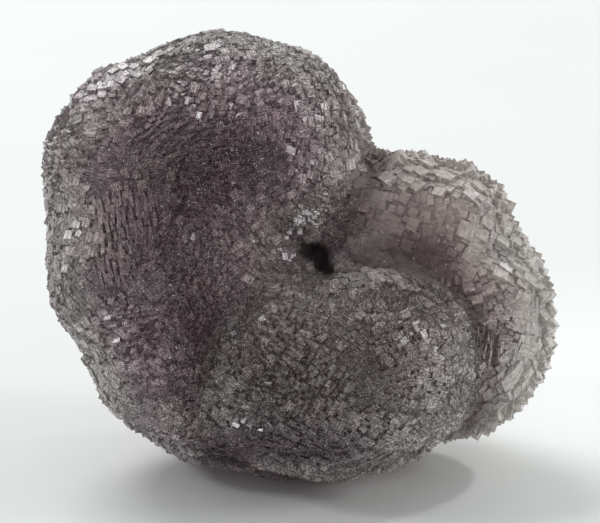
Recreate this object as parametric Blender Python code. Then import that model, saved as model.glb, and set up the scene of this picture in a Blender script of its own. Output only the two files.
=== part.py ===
"""Violet fluorite specimen: one intergrown cluster of small cubes.

The cluster is a single natural piece. Three rounded lobes have grown into each
other: a tall one on the left, a lower one in front and a ring-shaped one on the
right, with a short deep pit where the three meet. A crust of cube crystals
covers every side. The underside is flat, so the cluster stands on it.

Metres, +Z up, origin in the middle of the footprint's box at floor height.
"""
import math
import random

import bpy
import bmesh
from mathutils import Euler, Matrix, Vector, noise

# ---------------------------------------------------------------- dimensions
MM = 0.001
WIDTH = 0.072               # left to right, over the crystal tips
LEAN = math.radians(18.0)   # the lobes' common front leans back by this much
BASE_CUT = -29.0 * MM       # height at which the underside is ground flat
FLATNESS = 0.12 * MM        # the ground face is true to this
VOXEL = 1.2 * MM            # grid for growing the lobes into one another
BODY_TRIANGLES = 1000       # facets of the lobed body under the crystals
ALL_TRIANGLES = 9400        # facets of the whole cluster
CRYSTALS = 480              # cubes of the crust, intergrown with each other
CRYSTAL_FINE = 4.3 * MM     # cube edge on the left and front lobes
CRYSTAL_COARSE = 5.4 * MM   # cube edge on the right lobe
CRYSTAL_GAP = 3.4 * MM      # least distance between two cube centres
DOMAINS = 60                # patches inside which the cubes lie nearly parallel
SEED = 11

# Each lobe is an ellipsoid: centre (right, up, forward) in millimetres in the
# leaning front plane, three radii, and a roll in that plane in degrees.
LEFT = [
    ((-10.9, 13.6, -0.5), (20.3, 16.9, 15.0), 9),     # crown
    ((-18.6, 10.3, 0.5), (16.8, 16.3, 14.5), 0),      # shoulder
    ((-19.9, -1.5, 1.5), (15.0, 15.1, 14.5), 0),      # flank
    ((-26.4, -4.3, 3.5), (7.8, 8.8, 9.0), 0),         # swelling on the flank
    ((-12.0, -12.4, 0.0), (18.8, 15.6, 15.5), -26),   # foot
]
FRONT = [
    ((4.2, -15.6, 9.0), (18.4, 13.7, 14.5), 4),       # front lobe
    ((12.6, -10.4, 9.5), (9.4, 8.0, 10.5), -25),      # its upper right corner
]
RIGHT = [
    ((13.2, 6.2, -4.0), (11.2, 7.3, 9.5), 26),        # ring, top
    ((20.6, 4.0, -3.0), (8.9, 9.9, 11.0), 0),         # ring, shoulder
    ((25.0, -8.4, -2.5), (8.9, 12.9, 11.5), 4),       # ring, side
    ((20.4, -15.0, -1.5), (11.9, 9.5, 11.0), 16),     # ring, foot
    ((16.5, -5.0, -6.0), (11.5, 11.0, 11.5), 0),      # floor of the ring
]
UNDER = [
    ((-0.5, -19.2, -3.0), (18.0, 11.0, 17.0), -3),    # mass under the lobes
    ((-8.5, -3.0, -8.5), (18.0, 18.0, 13.5), 0),      # back, left
    ((9.5, -9.0, -9.5), (16.5, 13.0, 13.0), -10),     # back, right
]
PIT = ((2.1, -0.3, 6.0), (2.3, 2.7, 12.0), 0)         # pit between the lobes


def to_world(right, up, forward):
    """Leaning front-plane coordinates to +Z-up ones."""
    s, c = math.sin(LEAN), math.cos(LEAN)
    return Vector((right, up * s - forward * c, up * c + forward * s))


def ellipsoid(spec, name):
    """One closed ellipsoid as an object."""
    centre, radii, roll = spec
    bm = bmesh.new()
    bmesh.ops.create_icosphere(bm, subdivisions=4, radius=1.0)
    turn = Matrix.Rotation(math.radians(roll), 3, 'Z')
    for v in bm.verts:
        p = turn @ Vector((v.co.x * radii[0], v.co.y * radii[1], v.co.z * radii[2]))
        v.co = to_world((p.x + centre[0]) * MM, (p.y + centre[1]) * MM,
                        (p.z + centre[2]) * MM)
    bmesh.ops.recalc_face_normals(bm, faces=bm.faces)
    mesh = bpy.data.meshes.new(name)
    bm.to_mesh(mesh)
    bm.free()
    ob = bpy.data.objects.new(name, mesh)
    bpy.context.scene.collection.objects.link(ob)
    return ob


def merged(objects, name):
    """Put the meshes of several objects in one object and drop the rest."""
    bm = bmesh.new()
    for ob in objects:
        bm.from_mesh(ob.data)
    mesh = bpy.data.meshes.new(name)
    bm.to_mesh(mesh)
    bm.free()
    for ob in objects:
        old = ob.data
        bpy.data.objects.remove(ob)
        bpy.data.meshes.remove(old)
    out = bpy.data.objects.new(name, mesh)
    bpy.context.scene.collection.objects.link(out)
    return out


def settle(ob):
    """Apply an object's modifiers to its mesh."""
    graph = bpy.context.evaluated_depsgraph_get()
    mesh = bpy.data.meshes.new_from_object(ob.evaluated_get(graph))
    ob.modifiers.clear()
    old = ob.data
    ob.data = mesh
    bpy.data.meshes.remove(old)


def grown(specs, name, smoothing):
    """Ellipsoids grown into one rounded body."""
    ob = merged([ellipsoid(s, name) for s in specs], name)
    mod = ob.modifiers.new("grow", 'REMESH')
    mod.mode = 'VOXEL'
    mod.voxel_size = VOXEL
    mod = ob.modifiers.new("round", 'SMOOTH')
    mod.factor = 0.5
    mod.iterations = smoothing
    settle(ob)
    return ob


def lobed_body():
    """The three lobes and the mass under them, with creases between them."""
    body = merged([grown(LEFT, "left", 14), grown(FRONT, "front", 6),
                   grown(RIGHT, "right", 10), grown(UNDER, "under", 10)], "fluorite")
    mod = body.modifiers.new("grow", 'REMESH')
    mod.mode = 'VOXEL'
    mod.voxel_size = VOXEL
    settle(body)

    pit = ellipsoid(PIT, "pit")
    pit.hide_render = True
    pit.display_type = 'WIRE'
    mod = body.modifiers.new("pit", 'BOOLEAN')
    mod.operation = 'DIFFERENCE'
    mod.solver = 'EXACT'
    mod.object = pit
    mod = body.modifiers.new("grow again", 'REMESH')
    mod.mode = 'VOXEL'
    mod.voxel_size = VOXEL
    mod = body.modifiers.new("soften", 'SMOOTH')
    mod.factor = 0.5
    mod.iterations = 2
    settle(body)
    bpy.data.objects.remove(pit)

    # shallow swellings about 8 mm across, then a coarse crystalline grain
    mesh = body.data
    for v in mesh.vertices:
        p = v.co
        swell = noise.noise(p / (9.0 * MM)) * 0.7 * MM
        grain = noise.cell(p / (2.4 * MM)) * 0.55 * MM
        v.co = p + v.normal * (swell + grain)
    mod = body.modifiers.new("facets", 'DECIMATE')
    mod.ratio = min(1.0, BODY_TRIANGLES / (2.0 * len(mesh.polygons)))
    mod.use_collapse_triangulate = True
    settle(body)
    return body


def one_piece(ob):
    """Keep the largest connected part of a mesh and drop the specks."""
    bm = bmesh.new()
    bm.from_mesh(ob.data)
    seen, parts = set(), []
    for start in bm.verts:
        if start in seen:
            continue
        stack, part = [start], []
        seen.add(start)
        while stack:
            v = stack.pop()
            part.append(v)
            for e in v.link_edges:
                w = e.other_vert(v)
                if w not in seen:
                    seen.add(w)
                    stack.append(w)
        parts.append(part)
    parts.sort(key=len)
    for part in parts[:-1]:
        bmesh.ops.delete(bm, geom=part, context='VERTS')
    bm.to_mesh(ob.data)
    bm.free()


def surface_points(mesh, count, gap, rng):
    """Seeded points on the surface with their normals, at least a gap apart."""
    mesh.calc_loop_triangles()
    tris = [(t.vertices[:], t.area, t.normal.copy()) for t in mesh.loop_triangles]
    total, sums = 0.0, []
    for t in tris:
        total += t[1]
        sums.append(total)
    found, tries = [], 0
    while len(found) < count and tries < count * 60:
        tries += 1
        pick = rng.random() * total
        lo, hi = 0, len(sums) - 1
        while lo < hi:
            mid = (lo + hi) // 2
            if sums[mid] < pick:
                lo = mid + 1
            else:
                hi = mid
        ids, _, normal = tris[lo]
        u, v = rng.random(), rng.random()
        if u + v > 1.0:
            u, v = 1.0 - u, 1.0 - v
        a, b, c = (mesh.vertices[i].co for i in ids)
        p = a + (b - a) * u + (c - a) * v
        if all((p - q).length_squared > gap * gap for q, _ in found):
            found.append((p.copy(), normal))
    return found


def crystal_crust(body, rng):
    """Cubes on the surface, nearly parallel to each other inside a domain."""
    points = surface_points(body.data, CRYSTALS, CRYSTAL_GAP, rng)
    seeds = surface_points(body.data, DOMAINS, 4.0 * MM, rng)
    frames = []
    for q, normal in seeds:
        lead = rng.choice([(1, 1, 1), (1, 1, 0), (1, 1, 0), (1, 0.3, 0)])
        tip = Vector(lead).normalized().rotation_difference(normal).to_matrix()
        spin = Matrix.Rotation(rng.uniform(0, 2 * math.pi), 3, normal)
        frames.append((q, spin @ tip))
    bm = bmesh.new()
    for p, normal in points:
        _, frame = min(frames, key=lambda f: (f[0] - p).length_squared)
        jitter = Euler([math.radians(rng.uniform(-8, 8)) for _ in range(3)]).to_matrix()
        coarse = min(1.0, max(0.0, (p.x / MM - 2.0) / 14.0))
        edge = (CRYSTAL_FINE + (CRYSTAL_COARSE - CRYSTAL_FINE) * coarse
                ) * rng.uniform(0.85, 1.12)
        cube = bmesh.ops.create_cube(bm, size=1.0)['verts']
        size = Matrix.Diagonal((edge, edge * rng.uniform(0.8, 1.15),
                                edge * rng.uniform(0.7, 1.1)))
        turn = frame @ jitter @ size
        centre = p - normal * edge * 0.45
        for v in cube:
            v.co = centre + turn @ v.co
    mesh = bpy.data.meshes.new("crystals")
    bm.to_mesh(mesh)
    bm.free()
    ob = bpy.data.objects.new("crystals", mesh)
    bpy.context.scene.collection.objects.link(ob)
    ob.hide_render = True
    ob.display_type = 'WIRE'
    return ob


def block_below(height):
    """A wide block whose top face is at the given height."""
    bm = bmesh.new()
    bmesh.ops.create_cube(bm, size=1.0)
    for v in bm.verts:
        v.co = Vector((v.co.x * 0.2, v.co.y * 0.2, height + (v.co.z - 0.5) * 0.04))
    mesh = bpy.data.meshes.new("block")
    bm.to_mesh(mesh)
    bm.free()
    ob = bpy.data.objects.new("block", mesh)
    bpy.context.scene.collection.objects.link(ob)
    ob.hide_render = True
    ob.display_type = 'WIRE'
    return ob


def fluorite_material():
    mat = bpy.data.materials.new("fluorite_violet")
    mat.use_nodes = True
    bsdf = mat.node_tree.nodes["Principled BSDF"]
    bsdf.inputs["Base Color"].default_value = (0.155, 0.115, 0.125, 1.0)
    bsdf.inputs["Roughness"].default_value = 0.32
    bsdf.inputs["Metallic"].default_value = 0.0
    bsdf.inputs["IOR"].default_value = 1.434
    mat.diffuse_color = (0.155, 0.115, 0.125, 1.0)
    mat.roughness = 0.32
    return mat


def main():
    for ob in list(bpy.data.objects):
        bpy.data.objects.remove(ob)
    rng = random.Random(SEED)
    body = lobed_body()
    crust = crystal_crust(body, rng)
    mod = body.modifiers.new("crystals", 'BOOLEAN')
    mod.operation = 'UNION'
    mod.solver = 'EXACT'
    mod.use_self = True
    mod.object = crust
    settle(body)
    bpy.data.objects.remove(crust)
    one_piece(body)

    block = block_below(BASE_CUT)
    mod = body.modifiers.new("flat base", 'BOOLEAN')
    mod.operation = 'DIFFERENCE'
    mod.solver = 'EXACT'
    mod.object = block
    mod = body.modifiers.new("triangles", 'TRIANGULATE')
    settle(body)
    bpy.data.objects.remove(block)
    one_piece(body)

    mod = body.modifiers.new("facets", 'DECIMATE')
    mod.ratio = min(1.0, ALL_TRIANGLES / len(body.data.polygons))
    mod.use_collapse_triangulate = True
    settle(body)
    for v in body.data.vertices:
        if v.co.z < BASE_CUT + FLATNESS:
            v.co.z = BASE_CUT

    # bring the outline to its stated width, centred over the origin
    xs = [v.co.x for v in body.data.vertices]
    ys = [v.co.y for v in body.data.vertices]
    k = WIDTH / (max(xs) - min(xs))
    shift = Vector(((max(xs) + min(xs)) / 2, (max(ys) + min(ys)) / 2, BASE_CUT))
    for v in body.data.vertices:
        v.co = (v.co - shift) * k
    body.data.materials.clear()
    body.data.materials.append(fluorite_material())


main()
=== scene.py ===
"""Looks of a fluorite specimen.

The cluster is grown again here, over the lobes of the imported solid, as one closed
mesh of some eleven thousand intergrown cubes, in see-through violet-grey crystal.
"""
import math
import bpy
import bmesh
import numpy as np
from mathutils import Euler, Matrix, Vector, noise
from mathutils.bvhtree import BVHTree
from mathutils.kdtree import KDTree


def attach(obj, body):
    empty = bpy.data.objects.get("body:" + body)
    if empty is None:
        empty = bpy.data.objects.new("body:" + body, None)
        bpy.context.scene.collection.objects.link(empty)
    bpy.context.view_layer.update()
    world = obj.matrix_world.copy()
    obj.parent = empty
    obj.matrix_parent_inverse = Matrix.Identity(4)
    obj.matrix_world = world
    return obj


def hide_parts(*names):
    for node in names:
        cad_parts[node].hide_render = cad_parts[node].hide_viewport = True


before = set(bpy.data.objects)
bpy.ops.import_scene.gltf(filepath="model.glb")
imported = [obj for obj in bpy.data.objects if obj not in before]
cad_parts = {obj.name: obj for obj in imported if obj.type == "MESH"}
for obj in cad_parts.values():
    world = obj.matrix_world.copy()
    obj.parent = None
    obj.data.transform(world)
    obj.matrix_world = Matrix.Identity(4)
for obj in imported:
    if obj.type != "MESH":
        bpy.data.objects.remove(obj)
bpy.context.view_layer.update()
scene = bpy.context.scene

# ------------------------------------------------------------------ dimensions
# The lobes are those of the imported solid, with the outline of a few of them drawn
# a fraction of a millimetre closer; SCALE and SHIFT bring them into its frame.
MM = 0.001
LEAN = math.radians(18.0)
BASE_CUT = -29.0 * MM
VOXEL = 1.2 * MM
SCALE = 1.00513
SHIFT = Vector((-0.637 * MM, -2.9955 * MM, BASE_CUT))

# centre (right, up, forward), radii, roll: millimetres and degrees, in the
# leaning front plane
LEFT = [
    ((-11.4, 13.6, -0.5), (20.0, 17.0, 15.0), 7),     # crown
    ((-18.5, 10.9, 0.5), (17.1, 16.6, 14.5), 0),      # shoulder
    ((-19.9, -1.5, 1.5), (15.0, 15.1, 14.5), 0),      # flank
    ((-26.4, -4.3, 3.5), (7.8, 8.8, 9.0), 0),         # swelling on the flank
    ((-12.0, -12.4, 0.0), (18.8, 15.6, 15.5), -26),   # foot
]
FRONT = [
    ((4.2, -15.6, 9.0), (18.4, 13.7, 14.5), 4),       # front lobe
    ((12.6, -10.4, 9.5), (9.4, 8.0, 10.5), -25),      # its upper right corner
]
RIGHT = [
    ((12.6, 6.6, -4.0), (10.6, 7.5, 9.5), 22),        # ring, top
    ((19.9, 3.6, -3.0), (8.5, 9.5, 11.0), 0),         # ring, shoulder
    ((25.0, -8.4, -2.5), (8.9, 12.9, 11.5), 4),       # ring, side
    ((20.4, -15.0, -1.5), (11.9, 9.5, 11.0), 16),     # ring, foot
    ((16.5, -5.0, -6.0), (11.5, 11.0, 11.5), 0),      # floor of the ring
]
UNDER = [
    ((-0.5, -19.2, -3.0), (18.0, 11.0, 17.0), -3),    # mass under the lobes
    ((-8.5, -3.0, -8.5), (18.0, 18.0, 13.5), 0),      # back, left
    ((9.5, -9.0, -9.5), (16.5, 13.0, 13.0), -10),     # back, right
]
PIT = [
    ((1.4, 0.7, 6.0), (2.3, 1.3, 12.0), -14),         # pit between the lobes
    ((2.6, -0.8, 6.0), (1.4, 2.4, 12.0), 14),
]
# places where the cubes are thin plates standing side by side: place in the
# front plane, radius, lean of the plates
SLATS = [((-23.2, 5.0), 4.4, 9), ((-25.2, -0.5), 3.0, 14), ((23.9, -12.0), 2.4, -6),
         ((20.8, -18.5), 2.2, 8)]
CHIPS = ((-0.7, 4.9), 1.25)  # a few white chips by the pit
# painted shade: a dark streak down to the pit and a dark band above the front lobe
GROOVE_SHADE = ((-9.0, 11.0), (-1.5, 3.2))   # dark groove that runs down to the pit
SHADE = ((4.5, 0.2), (17.5, -0.4))     # dark band above the front lobe

FINE = 0.58          # spacing of the cubes on the left and front lobes, mm
COARSE = 0.94        # and on the right lobe
DOMAIN = 5.0         # size of the patches in which the cubes lie alike, mm
MOST_TRIANGLES = 198500


# ---------------------------------------------------------------- mesh helpers
def to_world(right, up, forward):
    s, c = math.sin(LEAN), math.cos(LEAN)
    return Vector((right, up * s - forward * c, up * c + forward * s))


def lean_coords(P):
    """World points to (right, up, forward) in millimetres."""
    s, c = math.sin(LEAN), math.cos(LEAN)
    return np.stack([P[:, 0], P[:, 1] * s + P[:, 2] * c,
                     -P[:, 1] * c + P[:, 2] * s], 1) / MM


def smooth01(x, lo, hi):
    t = np.clip((x - lo) / (hi - lo), 0.0, 1.0)
    return t * t * (3.0 - 2.0 * t)


def flat32(a):
    return np.ascontiguousarray(a, np.float32).ravel()


def read3(items, name):
    a = np.empty(len(items) * 3, np.float32)
    items.foreach_get(name, a)
    return a.reshape(-1, 3).astype(float)


def link(mesh, name):
    ob = bpy.data.objects.new(name, mesh)
    scene.collection.objects.link(ob)
    return ob


def settle(ob):
    """Apply an object's modifiers to its mesh."""
    graph = bpy.context.evaluated_depsgraph_get()
    mesh = bpy.data.meshes.new_from_object(ob.evaluated_get(graph))
    ob.modifiers.clear()
    old = ob.data
    ob.data = mesh
    bpy.data.meshes.remove(old)


def ellipsoid(spec, name):
    centre, radii, roll = spec
    bm = bmesh.new()
    bmesh.ops.create_icosphere(bm, subdivisions=4, radius=1.0)
    turn = Matrix.Rotation(math.radians(roll), 3, 'Z')
    for v in bm.verts:
        p = turn @ Vector((v.co.x * radii[0], v.co.y * radii[1], v.co.z * radii[2]))
        v.co = to_world((p.x + centre[0]) * MM, (p.y + centre[1]) * MM,
                        (p.z + centre[2]) * MM)
    bmesh.ops.recalc_face_normals(bm, faces=bm.faces)
    mesh = bpy.data.meshes.new(name)
    bm.to_mesh(mesh)
    bm.free()
    return link(mesh, name)


def merged(objects, name):
    bm = bmesh.new()
    for ob in objects:
        bm.from_mesh(ob.data)
    mesh = bpy.data.meshes.new(name)
    bm.to_mesh(mesh)
    bm.free()
    for ob in objects:
        old = ob.data
        bpy.data.objects.remove(ob)
        bpy.data.meshes.remove(old)
    return link(mesh, name)


def voxels(ob, smoothing):
    mod = ob.modifiers.new("grow", 'REMESH')
    mod.mode = 'VOXEL'
    mod.voxel_size = VOXEL
    if smoothing:
        mod = ob.modifiers.new("round", 'SMOOTH')
        mod.factor = 0.5
        mod.iterations = smoothing


def grown(specs, name, smoothing):
    ob = merged([ellipsoid(s, name) for s in specs], name)
    voxels(ob, smoothing)
    settle(ob)
    return ob


def lobed_body():
    """The smooth lobes that the crystals stand on."""
    body = merged([grown(LEFT, "left", 14), grown(FRONT, "front", 6),
                   grown(RIGHT, "right", 10), grown(UNDER, "under", 10)], "lobes")
    voxels(body, 0)
    settle(body)
    pit = grown(PIT, "pit", 0)
    mod = body.modifiers.new("pit", 'BOOLEAN')
    mod.operation = 'DIFFERENCE'
    mod.solver = 'EXACT'
    mod.object = pit
    voxels(body, 2)
    settle(body)
    bpy.data.objects.remove(pit)
    for v in body.data.vertices:
        v.co = v.co + v.normal * (noise.noise(v.co / (9.0 * MM)) * 0.7 * MM)
    return body


# -------------------------------------------------------------------- crystals
def nearness(P, specs):
    """Rough distance in millimetres from the surface of a group of ellipsoids."""
    q = lean_coords(P)
    best = np.full(len(P), 1e9)
    for centre, radii, roll in specs:
        d = q - np.array(centre)
        a = math.radians(-roll)
        x = d[:, 0] * math.cos(a) - d[:, 1] * math.sin(a)
        y = d[:, 0] * math.sin(a) + d[:, 1] * math.cos(a)
        k = np.sqrt((x / radii[0]) ** 2 + (y / radii[1]) ** 2 + (d[:, 2] / radii[2]) ** 2)
        best = np.minimum(best, (k - 1.0) * min(radii))
    return best


def depth_inside(P):
    """Distance in millimetres to the outline that the lobes show from the front."""
    lobes = LEFT + FRONT + RIGHT + UNDER[:1]
    turn = np.linspace(0.0, 2.0 * math.pi, 181)[:-1]
    outline = []
    for centre, radii, roll in lobes:
        a = math.radians(roll)
        x, y = np.cos(turn) * radii[0], np.sin(turn) * radii[1]
        outline.append(np.stack([x * math.cos(a) - y * math.sin(a) + centre[0],
                                 x * math.sin(a) + y * math.cos(a) + centre[1]], 1))
    outline = np.concatenate(outline)
    outer = np.ones(len(outline), bool)
    for centre, radii, roll in lobes:
        a = math.radians(-roll)
        d = outline - np.array(centre[:2])
        x = d[:, 0] * math.cos(a) - d[:, 1] * math.sin(a)
        y = d[:, 0] * math.sin(a) + d[:, 1] * math.cos(a)
        outer &= (x / radii[0]) ** 2 + (y / radii[1]) ** 2 > 0.99
    outline, flat = outline[outer], lean_coords(P)[:, :2]
    depth = np.full(len(P), 1e9)
    for q in outline:
        depth = np.minimum(depth, ((flat - q) ** 2).sum(1))
    return np.sqrt(depth)


def coarseness(P):
    """1 on the right lobe, 0 on the left and front ones, between on the back."""
    q = lean_coords(P)
    right = smooth01(q[:, 0], 3.0, 10.0)
    infront = smooth01(q[:, 2], 7.0, 10.5) * smooth01(-q[:, 1], 1.0, 5.0)
    back = smooth01(-q[:, 2], -1.0, 8.0)
    flank = smooth01(-q[:, 0], 19.0, 28.0)
    return np.maximum(right * (1.0 - infront), np.maximum(0.85 * back, 0.2 * flank))


def surface_samples(mesh, count, rs):
    """Random points on a mesh with smooth normals."""
    mesh.calc_loop_triangles()
    T = np.empty(len(mesh.loop_triangles) * 3, np.int32)
    mesh.loop_triangles.foreach_get('vertices', T)
    T = T.reshape(-1, 3)
    V, N = read3(mesh.vertices, 'co'), read3(mesh.vertices, 'normal')
    A = np.linalg.norm(np.cross(V[T[:, 1]] - V[T[:, 0]], V[T[:, 2]] - V[T[:, 0]]), axis=1)
    pick = rs.choice(len(T), size=count, p=A / A.sum())
    u, v = rs.random_sample(count), rs.random_sample(count)
    flip = u + v > 1
    u[flip], v[flip] = 1 - u[flip], 1 - v[flip]
    w = np.stack([1 - u - v, u, v], 1)[..., None]
    P = (V[T[pick]] * w).sum(1)
    Q = (N[T[pick]] * w).sum(1)
    return P, Q / np.linalg.norm(Q, axis=1)[:, None]


def thin_out(P, gap):
    """Indices of points kept at least their own gap from those kept before."""
    cell = float(gap.max())
    grid, keep = {}, []
    near = [(i, j, k) for i in (-1, 0, 1) for j in (-1, 0, 1) for k in (-1, 0, 1)]
    for n, (p, g2, key) in enumerate(zip(P.tolist(), (gap * gap).tolist(),
                                         np.floor(P / cell).astype(int).tolist())):
        x, y, z = p
        a, b, c = key
        clear = True
        for i, j, k in near:
            for q in grid.get((a + i, b + j, c + k), ()):
                if (q[0] - x) ** 2 + (q[1] - y) ** 2 + (q[2] - z) ** 2 < g2:
                    clear = False
                    break
            if not clear:
                break
        if clear:
            grid.setdefault((a, b, c), []).append(p)
            keep.append(n)
    return np.array(keep)


def between(a, b):
    return Vector(a).rotation_difference(Vector(b)).to_matrix()


def place_crystals(body, rs):
    """Centres, rotations and edges of the cubes of the crust."""
    P, N = surface_samples(body.data, 110000, rs)
    coarse = coarseness(P)
    gap = (FINE + (COARSE - FINE) * coarse) * MM
    keep = thin_out(P, gap)
    keep = keep[nearness(P[keep], PIT) > 0.1]         # the pit's wall stays bare
    P, N, coarse, gap = P[keep], N[keep], coarse[keep], gap[keep]
    DP, DN = surface_samples(body.data, 4000, rs)
    dk = thin_out(DP, np.full(len(DP), DOMAIN * MM))
    DP, DN = DP[dk], DN[dk]
    flatness = np.maximum(smooth01(-lean_coords(DP)[:, 2], -2.0, 6.0), coarseness(DP))
    # how a patch's cubes stand: on a corner, on an edge, or nearly flat
    leads = [(1, 1, 1), (1, 1, 0.15), (1, 0.3, 0.12), (1, 0.12, 0.08)]
    frames, kinds = [], []
    kd = KDTree(len(DP))
    for n in range(len(DP)):
        odds = np.array([0.10, 0.22, 0.34, 0.34]) * (1 - flatness[n]) + \
            np.array([0.00, 0.04, 0.26, 0.70]) * flatness[n]
        lead = Vector(leads[rs.choice(4, p=odds / odds.sum())]).normalized()
        spin = Matrix.Rotation(rs.random_sample() * 2 * math.pi, 3, Vector(DN[n]))
        frames.append(spin @ between(lead, DN[n]))
        kinds.append(rs.random_sample())
        kd.insert(DP[n], n)
    kd.balance()
    C, R, S = np.empty_like(P), np.empty((len(P), 3, 3)), np.empty_like(P)
    rim = depth_inside(P)
    ahead = to_world(0, 0, 1)
    for n in range(len(P)):
        j = kd.find(Vector(P[n]) + Vector(rs.normal(size=3) * 0.5 * MM))[1]
        jitter = Euler((rs.normal(size=3) * math.radians(5.0)).tolist()).to_matrix()
        edge = gap[n] * 1.5 * min(1.5, math.exp(rs.normal() * (0.22 + 0.08 * coarse[n])))
        if kinds[j] < 0.28:                            # stacked plates
            s = np.array([0.42, 1.15, 0.95]) * (0.85 + 0.3 * rs.random_sample(3))
        else:
            s = 0.82 + 0.36 * rs.random_sample(3)
        sink = rs.random_sample() * (0.34 - 0.16 * coarse[n]) - 0.22 - 0.12 * coarse[n]
        R[n] = np.array(between(DN[j], N[n]) @ frames[j] @ jitter)
        S[n] = s * edge
        out = Vector(N[n])
        if rim[n] < 1.6 and abs(out.dot(ahead)) < 0.8 and \
                rs.random_sample() < 0.35 + 0.4 * coarse[n]:
            # roof-shaped teeth along the outline
            across = out.cross(ahead).normalized()
            along = across.cross(out)
            wobble = Euler((rs.normal(size=3) * math.radians(7.0)).tolist()).to_matrix()
            R[n] = np.array(wobble) @ np.stack([(out + across) / math.sqrt(2),
                                                (out - across) / math.sqrt(2), along], 1)
            S[n] = np.array([0.9, 0.9, 1.1]) * edge
            sink = rs.random_sample() * 0.25 - 0.20
        here = lean_coords(P[n:n + 1])[0]
        for place, radius, tilt in SLATS:
            if here[2] > 4 and math.hypot(here[0] - place[0], here[1] - place[1]) < radius:
                side = Matrix.Rotation(math.radians(tilt) + rs.normal() * 0.11, 3, 'Z')
                thin = to_world(*(side @ Vector((1, 0, 0))))
                thin = (thin - out * thin.dot(out)).normalized()
                louvre = Matrix.Rotation(math.radians(24.0), 3, out.cross(thin))
                thin, out = louvre @ thin, louvre @ out
                R[n] = np.stack([thin, out.cross(thin), out], 1)
                S[n] = np.array([0.44, 1.7, 1.3]) * (0.7 + 0.6 * rs.random_sample(3)) * MM
        C[n] = P[n] + N[n] * edge * sink
    return C, R, S


def union(body, C, R, S, name):
    """One closed mesh of the body and all cubes, ground flat underneath."""
    me = bpy.data.meshes.new(name)
    me.from_pydata(C.tolist(), [], [])
    turns = np.array([Matrix(r).to_euler('XYZ')[:] for r in R])
    me.attributes.new('turn', 'FLOAT_VECTOR', 'POINT').data.foreach_set('vector', flat32(turns))
    me.attributes.new('edge', 'FLOAT_VECTOR', 'POINT').data.foreach_set('vector', flat32(S))
    ob = link(me, name)
    ng = bpy.data.node_groups.new('grow crystals', 'GeometryNodeTree')
    ng.interface.new_socket('Geometry', in_out='INPUT', socket_type='NodeSocketGeometry')
    ng.interface.new_socket('Geometry', in_out='OUTPUT', socket_type='NodeSocketGeometry')
    n, l = ng.nodes, ng.links
    points, result = n.new('NodeGroupInput'), n.new('NodeGroupOutput')
    cube = n.new('GeometryNodeMeshCube')
    cube.inputs['Size'].default_value = (1, 1, 1)
    place = n.new('GeometryNodeInstanceOnPoints')
    turn = n.new('GeometryNodeInputNamedAttribute')
    turn.data_type = 'FLOAT_VECTOR'
    turn.inputs['Name'].default_value = 'turn'
    euler = n.new('FunctionNodeEulerToRotation')
    edge = n.new('GeometryNodeInputNamedAttribute')
    edge.data_type = 'FLOAT_VECTOR'
    edge.inputs['Name'].default_value = 'edge'
    l.new(turn.outputs['Attribute'], euler.inputs[0])
    l.new(points.outputs[0], place.inputs['Points'])
    l.new(cube.outputs['Mesh'], place.inputs['Instance'])
    l.new(euler.outputs[0], place.inputs['Rotation'])
    l.new(edge.outputs['Attribute'], place.inputs['Scale'])
    lobes_in = n.new('GeometryNodeObjectInfo')
    lobes_in.inputs['Object'].default_value = body
    join = n.new('GeometryNodeMeshBoolean')
    join.operation = 'UNION'
    join.solver = 'MANIFOLD'
    l.new(place.outputs[0], join.inputs['Mesh 2'])
    l.new(lobes_in.outputs['Geometry'], join.inputs['Mesh 2'])
    block = n.new('GeometryNodeMeshCube')
    block.inputs['Size'].default_value = (0.2, 0.2, 0.04)
    lower = n.new('GeometryNodeTransform')
    lower.inputs['Translation'].default_value = (0, 0, BASE_CUT - 0.02)
    l.new(block.outputs['Mesh'], lower.inputs['Geometry'])
    grind = n.new('GeometryNodeMeshBoolean')
    grind.operation = 'DIFFERENCE'
    grind.solver = 'MANIFOLD'
    l.new(join.outputs['Mesh'], grind.inputs['Mesh 1'])
    l.new(lower.outputs[0], grind.inputs['Mesh 2'])
    l.new(grind.outputs['Mesh'], result.inputs[0])
    mod = ob.modifiers.new('crystals', 'NODES')
    mod.node_group = ng
    settle(ob)
    return ob


def largest_piece(ob):
    """Drop every loose part but the largest."""
    me = ob.data
    E = np.empty(len(me.edges) * 2, np.int32)
    me.edges.foreach_get('vertices', E)
    E = E.reshape(-1, 2)
    label = np.arange(len(me.vertices))
    while True:
        low = np.minimum(label[E[:, 0]], label[E[:, 1]])
        new = label.copy()
        np.minimum.at(new, E[:, 0], low)
        np.minimum.at(new, E[:, 1], low)
        new = new[new]
        if (new == label).all():
            break
        label = new
    names, sizes = np.unique(label, return_counts=True)
    if len(names) > 1:
        bm = bmesh.new()
        bm.from_mesh(me)
        bm.verts.ensure_lookup_table()
        dead = [bm.verts[i] for i in np.nonzero(label != names[sizes.argmax()])[0]]
        bmesh.ops.delete(bm, geom=dead, context='VERTS')
        bm.to_mesh(me)
        bm.free()


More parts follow.
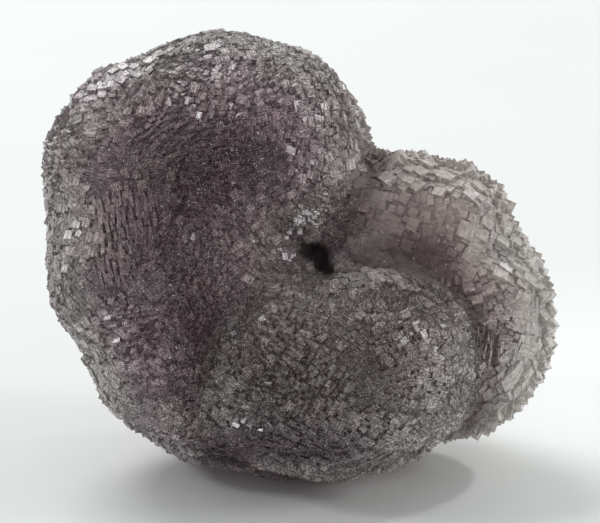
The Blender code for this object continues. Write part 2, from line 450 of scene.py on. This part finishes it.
def crystal_attributes(me, C, R, S, tone):
    """For every face, the crystal it belongs to: each corner's place on that
    crystal's face, from -1 at one edge to 1 at the other, and the crystal's tone."""
    cen, nor = read3(me.polygons, 'center'), read3(me.polygons, 'normal')
    n = len(cen)
    cell = 2.2 * MM
    cubes, faces = {}, {}
    for i, key in enumerate(map(tuple, np.floor(C / cell).astype(int))):
        cubes.setdefault(key, []).append(i)
    for i, key in enumerate(map(tuple, np.floor(cen / cell).astype(int))):
        faces.setdefault(key, []).append(i)
    owner, axis = np.zeros(n, int), np.zeros(n, int)
    near = [(i, j, k) for i in (-1, 0, 1) for j in (-1, 0, 1) for k in (-1, 0, 1)]
    for (a, b, c), fs in faces.items():
        js = [q for i, j, k in near for q in cubes.get((a + i, b + j, c + k), ())]
        if not js:
            continue
        fs, js = np.array(fs), np.array(js)
        d = cen[fs][:, None, :] - C[js][None, :, :]
        loc = np.einsum('fjc,jck->fjk', d, R[js]) / (S[js][None] * 0.5)
        al = np.abs(np.einsum('fc,jck->fjk', nor[fs], R[js]))
        k = al.argmax(2)
        on = np.abs(np.abs(np.take_along_axis(loc, k[..., None], 2)[..., 0]) - 1.0)
        out = np.maximum(np.abs(loc).max(2) - 1.0, 0.0)
        best = (on + out * 2.0 + (1.0 - al.max(2)) * 6.0).argmin(1)
        owner[fs] = js[best]
        axis[fs] = k[np.arange(len(fs)), best]
    lv = np.empty(len(me.loops), np.int32)
    me.loops.foreach_get('vertex_index', lv)
    total = np.empty(n, np.int32)
    me.polygons.foreach_get('loop_total', total)
    lf = np.repeat(np.arange(n), total)
    own, ax = owner[lf], axis[lf]
    co = read3(me.vertices, 'co')
    loc = np.einsum('lc,lck->lk', co[lv] - C[own], R[own]) / (S[own] * 0.5)
    u = np.take_along_axis(loc, ((ax + 1) % 3)[:, None], 1)[:, 0]
    v = np.take_along_axis(loc, ((ax + 2) % 3)[:, None], 1)[:, 0]
    data = np.stack([np.clip(u, -1.5, 1.5), np.clip(v, -1.5, 1.5), tone[own]], 1)
    me.attributes.new('crystal', 'FLOAT_VECTOR', 'CORNER').data.foreach_set('vector', flat32(data))


def beside(q, line, inner, outer):
    """1 next to a line in the front plane, falling to 0, and the place along it."""
    a, b = np.array(line[0]), np.array(line[1])
    t = np.clip(((q[:, :2] - a) @ (b - a)) / ((b - a) @ (b - a)), 0.0, 1.0)
    off = np.linalg.norm(q[:, :2] - a - t[:, None] * (b - a), axis=1)
    return (1.0 - smooth01(off, inner, outer)) * smooth01(q[:, 2], 0.0, 4.0), t


def zone_attributes(me, tree):
    """For every vertex, three vectors that the material reads:
    zone: height over the lobes in mm, painted shade in the creases, closeness to the pit;
    the second: distance from the front outline, by which pale rims and a shaded centre are
    painted, share of the front lobe, of the right lobe;
    marks: violet foot of the front lobe, chips by the pit, coarseness."""
    P = read3(me.vertices, 'co')
    q = lean_coords(P)
    height = np.empty(len(P))
    for i, p in enumerate(P.tolist()):
        near, nrm, _, dist = tree.find_nearest(p)
        height[i] = math.copysign(dist, (Vector(p) - near).dot(nrm)) / MM
    front = 1.0 - smooth01(nearness(P, FRONT), 0.3, 2.2)
    right = smooth01(q[:, 0] + 0.25 * q[:, 1], 4.0, 14.0) * (1.0 - front)

    # painted shade: darker where two lobes meet, along the streak to the pit, in the band above
    # the front lobe and over the top of the front lobe
    d = np.sort(np.stack([nearness(P, LEFT), nearness(P, FRONT), nearness(P, RIGHT)], 1), 1)
    painted_crease_shade = 1.0 - smooth01(d[:, 1], 0.8, 5.0)
    groove_shade, t = beside(q, GROOVE_SHADE, 0.8, 4.5)
    groove_shade *= 0.35 + 0.65 * t
    painted_crease_shade = np.maximum(painted_crease_shade, 0.85 * groove_shade) * (1.0 - 0.7 * front)
    painted_crease_shade = np.maximum(painted_crease_shade, 0.76 * beside(q, SHADE, 1.5, 5.0)[0] * (1.0 - front))
    painted_crease_shade = np.maximum(painted_crease_shade, 0.55 * front * smooth01(q[:, 1], -15.0, -4.0))
    pit = 1.0 - smooth01(nearness(P, PIT), -0.1, 0.35)

    # painted light and shade: pale near the outline that the lobes show from the front, as light
    # through thin edges, dark towards the thick centre
    inner = smooth01(depth_inside(P), 0.5, 19.0)
    # painted light and shade: paler on the right of the front lobe and low on the right lobe,
    # darker on the right lobe's top, for how the light falls
    inner *= 1.0 - 0.85 * front * smooth01(q[:, 0], 9.0, 19.0)
    inner *= 1.0 - 0.8 * right * smooth01(-q[:, 1], 4.0, 15.0)
    inner += 0.15 * right * smooth01(q[:, 1], 1.0, 8.0) * (1.0 - inner)

    low = smooth01(-q[:, 1], 18.5, 25.0) * smooth01(-q[:, 0], -14.0, -2.0) * \
        smooth01(q[:, 0], -17.0, -9.0) * smooth01(q[:, 2], 0.0, 5.0)
    low *= 1.0 - 0.8 * smooth01(-q[:, 1], 26.0, 28.5)
    chips = 1.0 - smooth01(np.hypot(q[:, 0] - CHIPS[0][0], q[:, 1] - CHIPS[0][1]),
                           CHIPS[1] * 0.3, CHIPS[1])
    chips *= smooth01(q[:, 2], 0.0, 3.0)
    for name, values in (('zone', (height, painted_crease_shade, pit)), ('painted_light_and_lobes', (inner, front, right)),
                         ('marks', (low, chips, coarseness(P)))):
        me.attributes.new(name, 'FLOAT_VECTOR', 'POINT').data.foreach_set(
            'vector', flat32(np.stack(values, 1)))


def build_cluster():
    rs = np.random.RandomState(5)
    lobes = lobed_body()
    tree = BVHTree.FromObject(lobes, bpy.context.evaluated_depsgraph_get())
    C, R, S = place_crystals(lobes, rs)
    ob = union(lobes, C, R, S, 'fluorite_crystals')
    bpy.data.objects.remove(lobes)
    largest_piece(ob)
    ob.data.calc_loop_triangles()
    count = len(ob.data.loop_triangles)
    ob.modifiers.new('triangles', 'TRIANGULATE')
    if count > MOST_TRIANGLES:
        mod = ob.modifiers.new('thin', 'DECIMATE')
        mod.ratio = MOST_TRIANGLES / count
        mod.use_collapse_triangulate = True
    settle(ob)
    me = ob.data
    crystal_attributes(me, C, R, S, rs.random_sample(len(C)))
    zone_attributes(me, tree)
    me.transform(Matrix.Scale(SCALE, 4) @ Matrix.Translation(-SHIFT))
    me.polygons.foreach_set('use_smooth', [False] * len(me.polygons))
    me.update()
    print('crystals', len(C), 'triangles before', count, 'and after', len(me.polygons))
    return ob


# ------------------------------------------------------------------- materials
class Nodes:
    """Short names for making shader nodes."""

    def __init__(self, tree):
        self.t = tree

    def new(self, kind, **values):
        node = self.t.nodes.new(kind)
        for key, val in values.items():
            setattr(node, key, val)
        return node

    def put(self, socket, val):
        if isinstance(val, bpy.types.NodeSocket):
            self.t.links.new(val, socket)
        else:
            socket.default_value = val

    def math(self, op, a, b=0.0, c=0.0, clamp=False):
        m = self.new('ShaderNodeMath', operation=op, use_clamp=clamp)
        for sock, val in zip(m.inputs, (a, b, c)):
            self.put(sock, val)
        return m.outputs[0]

    def span(self, x, a, b, lo, hi, smooth=True):
        m = self.new('ShaderNodeMapRange')
        m.interpolation_type = 'SMOOTHSTEP' if smooth else 'LINEAR'
        for name, val in (('Value', x), ('From Min', a), ('From Max', b),
                          ('To Min', lo), ('To Max', hi)):
            self.put(m.inputs[name], val)
        return m.outputs['Result']

    def mix(self, fac, a, b):
        m = self.new('ShaderNodeMix', data_type='RGBA')
        self.put(m.inputs[0], fac)
        self.put(m.inputs[6], a)
        self.put(m.inputs[7], b)
        return m.outputs[2]

    def noise(self, vector, scale, detail=2.0, rough=0.5):
        m = self.new('ShaderNodeTexNoise')
        self.put(m.inputs['Vector'], vector)
        m.inputs['Scale'].default_value = scale
        m.inputs['Detail'].default_value = detail
        m.inputs['Roughness'].default_value = rough
        return m.outputs['Fac']


def fluorite_material():
    mat = bpy.data.materials.new('fluorite_crystal')
    mat.use_nodes = True
    nt = mat.node_tree
    nt.nodes.clear()
    k = Nodes(nt)
    out = k.new('ShaderNodeOutputMaterial')
    bs = k.new('ShaderNodeBsdfPrincipled')
    nt.links.new(bs.outputs['BSDF'], out.inputs['Surface'])

    where = k.new('ShaderNodeTexCoord').outputs['Object']
    cry = k.new('ShaderNodeAttribute', attribute_name='crystal').outputs['Vector']
    zone = k.new('ShaderNodeAttribute', attribute_name='zone').outputs['Vector']
    cs = k.new('ShaderNodeSeparateXYZ')
    k.put(cs.inputs[0], cry)
    zs = k.new('ShaderNodeSeparateXYZ')
    k.put(zs.inputs[0], zone)
    u, v, tone = cs.outputs
    height, painted_crease_shade, pit = zs.outputs

    gs = k.new('ShaderNodeSeparateXYZ')
    k.put(gs.inputs[0], k.new('ShaderNodeAttribute', attribute_name='painted_light_and_lobes').outputs['Vector'])
    inner, front, right = gs.outputs

    ms = k.new('ShaderNodeSeparateXYZ')
    k.put(ms.inputs[0], k.new('ShaderNodeAttribute', attribute_name='marks').outputs['Vector'])
    low, chips, coarse = ms.outputs

    # colour zones: pale rims and a dark mauve centre, painted by the distance from the outline
    # that the lobes show from the front, for light shining through the thin edges and shade in
    # the thick centre; a greener front lobe with a violet foot, a paler right lobe; painted shade
    # in the creases and along a dark streak to the pit; the pit near black
    patchy = k.span(k.noise(where, 60.0, 3.0), 0.38, 0.64, 0.0, 1.0)
    backlit_rim_colour = k.mix(patchy, (0.86, 0.76, 0.77, 1), (0.85, 0.815, 0.76, 1))
    backlit_rim_colour = k.mix(right, backlit_rim_colour, (0.97, 0.92, 0.86, 1))
    backlit_rim_colour = k.mix(front, backlit_rim_colour, (0.83, 0.80, 0.745, 1))
    between_colour = k.mix(patchy, (0.665, 0.48, 0.545, 1), (0.67, 0.535, 0.545, 1))
    between_colour = k.mix(right, between_colour, (0.80, 0.67, 0.63, 1))
    between_colour = k.mix(front, between_colour, (0.53, 0.50, 0.45, 1))
    shaded_middle = k.mix(patchy, (0.124, 0.078, 0.092, 1), (0.143, 0.107, 0.102, 1))
    shaded_middle = k.mix(right, shaded_middle, (0.54, 0.40, 0.365, 1))
    shaded_middle = k.mix(front, shaded_middle, k.mix(patchy, (0.152, 0.135, 0.115, 1),
                                        (0.175, 0.19, 0.143, 1)))
    col = k.mix(k.span(inner, 0.0, 0.4, 0.0, 1.0, False), backlit_rim_colour, between_colour)
    col = k.mix(k.span(inner, 0.3, 1.0, 0.0, 1.0, False), col, shaded_middle)
    col = k.mix(k.math('MULTIPLY', low, 0.92), col, (0.10, 0.065, 0.098, 1))
    # painted shade in the creases, stronger where the surface lies low between crystals
    col = k.mix(k.math('MULTIPLY', painted_crease_shade, k.span(height, 0.0, 1.2, 0.85, 0.5)), col,
                (0.10, 0.058, 0.054, 1))

    # painted shade: darker deeper between the crystals, lighter up on their tips
    rise = k.math('DIVIDE', height, k.math('MULTIPLY_ADD', coarse, 0.5, 0.62))
    depth = k.new('ShaderNodeVectorMath', operation='SCALE')
    k.put(depth.inputs[0], col)
    k.put(depth.inputs['Scale'], k.span(rise, 0.0, 1.05, k.math('MAXIMUM', k.math(
        'MULTIPLY_ADD', coarse, 0.40, 0.42), k.span(inner, 0.0, 0.45, 0.62, 0.42)),
                                        k.math('MULTIPLY_ADD', coarse, -0.24, 1.34)))
    col = depth.outputs[0]

    # small rectangular steps on every face, parallel to the crystal's own edges
    tall = k.math('GREATER_THAN', k.math('FRACT', k.math('MULTIPLY', tone, 7.0)), 0.5)
    at = k.new('ShaderNodeCombineXYZ')
    k.put(at.inputs[0], k.math('MULTIPLY_ADD', tone, 37.0,
                               k.math('MULTIPLY', u, k.math('MULTIPLY_ADD', tall, 1.3, 0.7))))
    k.put(at.inputs[1], k.math('MULTIPLY_ADD', tone, 11.0,
                               k.math('MULTIPLY', v, k.math('MULTIPLY_ADD', tall, -1.3, 2.0))))
    cells = k.new('ShaderNodeTexVoronoi', voronoi_dimensions='2D', distance='CHEBYCHEV')
    k.put(cells.inputs['Vector'], at.outputs[0])
    cells.inputs['Scale'].default_value = 1.3
    cells.inputs['Randomness'].default_value = 0.85
    cc = k.new('ShaderNodeSeparateColor')
    k.put(cc.inputs[0], cells.outputs['Color'])
    cells2 = k.new('ShaderNodeTexVoronoi', voronoi_dimensions='2D', distance='CHEBYCHEV')
    k.put(cells2.inputs['Vector'], at.outputs[0])
    cells2.inputs['Scale'].default_value = 3.1
    cells2.inputs['Randomness'].default_value = 0.9
    cc2 = k.new('ShaderNodeSeparateColor')
    k.put(cc2.inputs[0], cells2.outputs['Color'])
    steps = k.math('MULTIPLY_ADD', cc2.outputs[1], 0.35, cc.outputs[0])
    grain = k.math('ADD', k.math('MULTIPLY', cc.outputs[2], 0.9),
                   k.math('MULTIPLY', cc2.outputs[0], 1.1))
    grain = k.math('MULTIPLY', k.math('POWER', 2.7, k.math('SUBTRACT', grain, 1.12)),
                   k.span(tone, 0.0, 1.0, 0.80, 1.20, False))
    shade = k.new('ShaderNodeVectorMath', operation='SCALE')
    k.put(shade.inputs[0], col)
    k.put(shade.inputs['Scale'], k.math('MINIMUM', grain, 2.4))
    fine = k.math('SUBTRACT', 1.0, coarse)
    col = k.mix(k.math('MULTIPLY_ADD', fine, 0.82, 0.18), col, shade.outputs[0])
    # painted highlights: pale dashes where the steps catch the light
    dash = k.math('MULTIPLY', k.math('GREATER_THAN', cc2.outputs[0], 0.87), fine)
    col = k.mix(k.math('MULTIPLY', dash, 0.42), col, (0.66, 0.57, 0.59, 1))
    # painted highlights and painted shade: thin pale or dark lines along the crystals' edges
    edge = k.span(k.math('MAXIMUM', k.math('ABSOLUTE', u), k.math('ABSOLUTE', v)),
                  k.math('MULTIPLY_ADD', coarse, 0.06, 0.84), 0.975, 0.0, 1.0)
    lit_edge = k.math('MULTIPLY', k.math('MAXIMUM', fine, k.span(inner, 0.0, 0.5, 0.9, 0.0)),
                  k.math('GREATER_THAN', k.math('FRACT', k.math('MULTIPLY', tone, 13.0)), 0.5))
    edge_highlight_and_shade = k.mix(lit_edge, (0.10, 0.06, 0.065, 1), (0.80, 0.74, 0.74, 1))
    col = k.mix(k.math('MULTIPLY', edge, 0.42), col, edge_highlight_and_shade)
    # painted shade in thin dark lines between the steps, painted glints in pale specks, and white
    # chips by the pit
    line = k.math('MAXIMUM', k.span(cells.outputs['Distance'], 0.37, 0.46, 0.0, 1.0),
                  k.math('MULTIPLY', k.math('MULTIPLY', 0.55, fine),
                         k.span(cells2.outputs['Distance'], 0.38, 0.48, 0.0, 1.0)))
    col = k.mix(k.math('MULTIPLY', line, k.math('MULTIPLY_ADD', fine, 0.35, 0.27)), col,
                (0.07, 0.038, 0.048, 1))
    glint_speck = k.math('GREATER_THAN', cc2.outputs[2], k.math('MULTIPLY_ADD', coarse, 0.032, 0.957))
    glint_speck = k.math('MULTIPLY', glint_speck, k.math('LESS_THAN', cells2.outputs['Distance'], 0.30))
    large_glint = k.math('MULTIPLY', k.math('GREATER_THAN', cc.outputs[1], 0.993),
                   k.math('LESS_THAN', cells.outputs['Distance'], 0.24))
    glint_speck = k.math('MAXIMUM', glint_speck, large_glint)
    chip = k.math('GREATER_THAN', k.math('ADD', chips, k.math('MULTIPLY', cc.outputs[1], 0.8)),
                  1.02)
    glints_and_chips = k.math('MAXIMUM', glint_speck, chip)
    col = k.mix(k.math('MULTIPLY', chips, 0.8), col, (0.30, 0.32, 0.27, 1))
    col = k.mix(glints_and_chips, col, (0.93, 0.89, 0.90, 1))
    col = k.mix(pit, col, (0.055, 0.049, 0.043, 1))
    k.put(bs.inputs['Base Color'], col)

    bump = k.new('ShaderNodeBump')
    bump.inputs['Strength'].default_value = 0.9
    bump.inputs['Distance'].default_value = 0.07 * MM
    k.put(bump.inputs['Height'], steps)
    k.put(bs.inputs['Normal'], bump.outputs['Normal'])

    # some crystals are glassy, some etched
    rough = k.math('ADD', k.span(tone, 0.0, 1.0, 0.06, 0.20, False),
                   k.span(k.noise(where, 140.0, 2.0), 0.45, 0.75, 0.0, 0.12))
    rough = k.math('MULTIPLY_ADD', coarse, 0.10, rough)
    k.put(bs.inputs['Roughness'], k.math('MAXIMUM', rough, k.math('MULTIPLY', pit, 0.6)))
    bs.inputs['IOR'].default_value = 1.434
    haze = k.math('MAXIMUM', k.span(inner, 0.0, 1.0, 0.46, 0.42),
                  k.math('MULTIPLY', right, 0.56))
    k.put(bs.inputs['Transmission Weight'],
          k.math('SUBTRACT', 1.0, k.math('MAXIMUM', haze,
                                         k.math('MAXIMUM', k.math('MULTIPLY', pit, 0.95),
                                                k.math('MULTIPLY', glints_and_chips, 0.75)))))

    vol = k.new('ShaderNodeVolumeAbsorption')
    vol.inputs['Color'].default_value = (0.62, 0.46, 0.53, 1)
    vol.inputs['Density'].default_value = 48.0
    nt.links.new(vol.outputs['Volume'], out.inputs['Volume'])
    return mat


def floor_material():
    mat = bpy.data.materials.new('pale_floor')
    mat.use_nodes = True
    k = Nodes(mat.node_tree)
    bs = mat.node_tree.nodes['Principled BSDF']
    where = k.new('ShaderNodeTexCoord').outputs['Object']
    k.put(bs.inputs['Base Color'], k.mix(k.noise(where, 30.0, 4.0), (0.785, 0.80, 0.79, 1),
                                         (0.815, 0.83, 0.82, 1)))
    bs.inputs['Roughness'].default_value = 0.9
    bs.inputs['Specular IOR Level'].default_value = 0.1
    return mat


# ----------------------------------------------------------------- the cluster
cluster = build_cluster()
cluster.data.materials.clear()
cluster.data.materials.append(fluorite_material())
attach(cluster, 'root')
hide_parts('fluorite')

# ----------------------------------------------------------------------- floor
bm = bmesh.new()
bmesh.ops.create_grid(bm, x_segments=1, y_segments=1, size=6.0)
floor_mesh = bpy.data.meshes.new('floor')
bm.to_mesh(floor_mesh)
bm.free()
floor = link(floor_mesh, 'floor')
floor.data.materials.append(floor_material())

# ----------------------------------------------------------------------- light
# a big soft light tent: bright behind and overhead, dim on the camera's side
world = bpy.data.worlds.new('studio')
scene.world = world
world.use_nodes = True
kw = Nodes(world.node_tree)
bg = world.node_tree.nodes['Background']
sky = kw.new('ShaderNodeSeparateXYZ')
kw.put(sky.inputs[0], kw.new('ShaderNodeTexCoord').outputs['Generated'])
toward = kw.math('MULTIPLY_ADD', sky.outputs['Y'], 0.72,
                 kw.math('MULTIPLY_ADD', sky.outputs['Z'], 0.36,
                         kw.math('MULTIPLY', sky.outputs['X'], -0.18)))
dome = kw.span(toward, -0.40, 0.55, 0.355, 0.65)
kw.put(bg.inputs['Strength'], dome)
bg.inputs['Color'].default_value = (0.93, 0.97, 0.965, 1)


def area(name, loc, aim, size, watts, colour=(1, 1, 1)):
    data = bpy.data.lights.new(name, 'AREA')
    data.shape = 'DISK'
    data.size = size
    data.energy = watts
    data.color = colour
    ob = link(data, name)
    ob.location = loc
    ob.rotation_euler = (Vector(aim) - Vector(loc)).to_track_quat('-Z', 'Y').to_euler()
    return ob


area('key', (-0.34, 0.60, 0.82), (0, 0, 0.02), 0.62, 5.7)
area('side', (-0.75, -0.15, 0.55), (0, 0, 0.03), 0.18, 1.5)
area('right', (0.78, -0.08, 0.34), (0.02, 0, 0.03), 0.30, 2.2)
pool = bpy.data.lights.new('pool', 'SPOT')
pool.energy = 8.0
pool.spot_size = math.radians(8.0)
pool.spot_blend = 1.0
pool.shadow_soft_size = 0.04
pool_ob = link(pool, 'pool')
pool_ob.location = (0.45, 0.30, 0.50)
pool_ob.rotation_euler = (Vector((0.047, 0.024, 0.010)) - pool_ob.location).to_track_quat(
    '-Z', 'Y').to_euler()

# ---------------------------------------------------------------------- camera
TARGET = Vector((0.0, 0.0, 0.0295))
DISTANCE = 0.43
cam_data = bpy.data.cameras.new('camera')
cam_data.sensor_width = 36.0
cam_data.lens = 189.0
cam_data.clip_start = 0.01
cam_data.clip_end = 50.0
camera = link(cam_data, 'camera')
camera.location = TARGET + DISTANCE * Vector((0, -math.cos(LEAN), math.sin(LEAN)))
camera.rotation_euler = (TARGET - camera.location).to_track_quat('-Z', 'Y').to_euler()
scene.camera = camera

scene.view_settings.view_transform = 'Standard'
scene.cycles.max_bounces = 24
scene.cycles.transmission_bounces = 24
scene.cycles.diffuse_bounces = 4
scene.cycles.glossy_bounces = 8

bpy.context.view_layer.update()
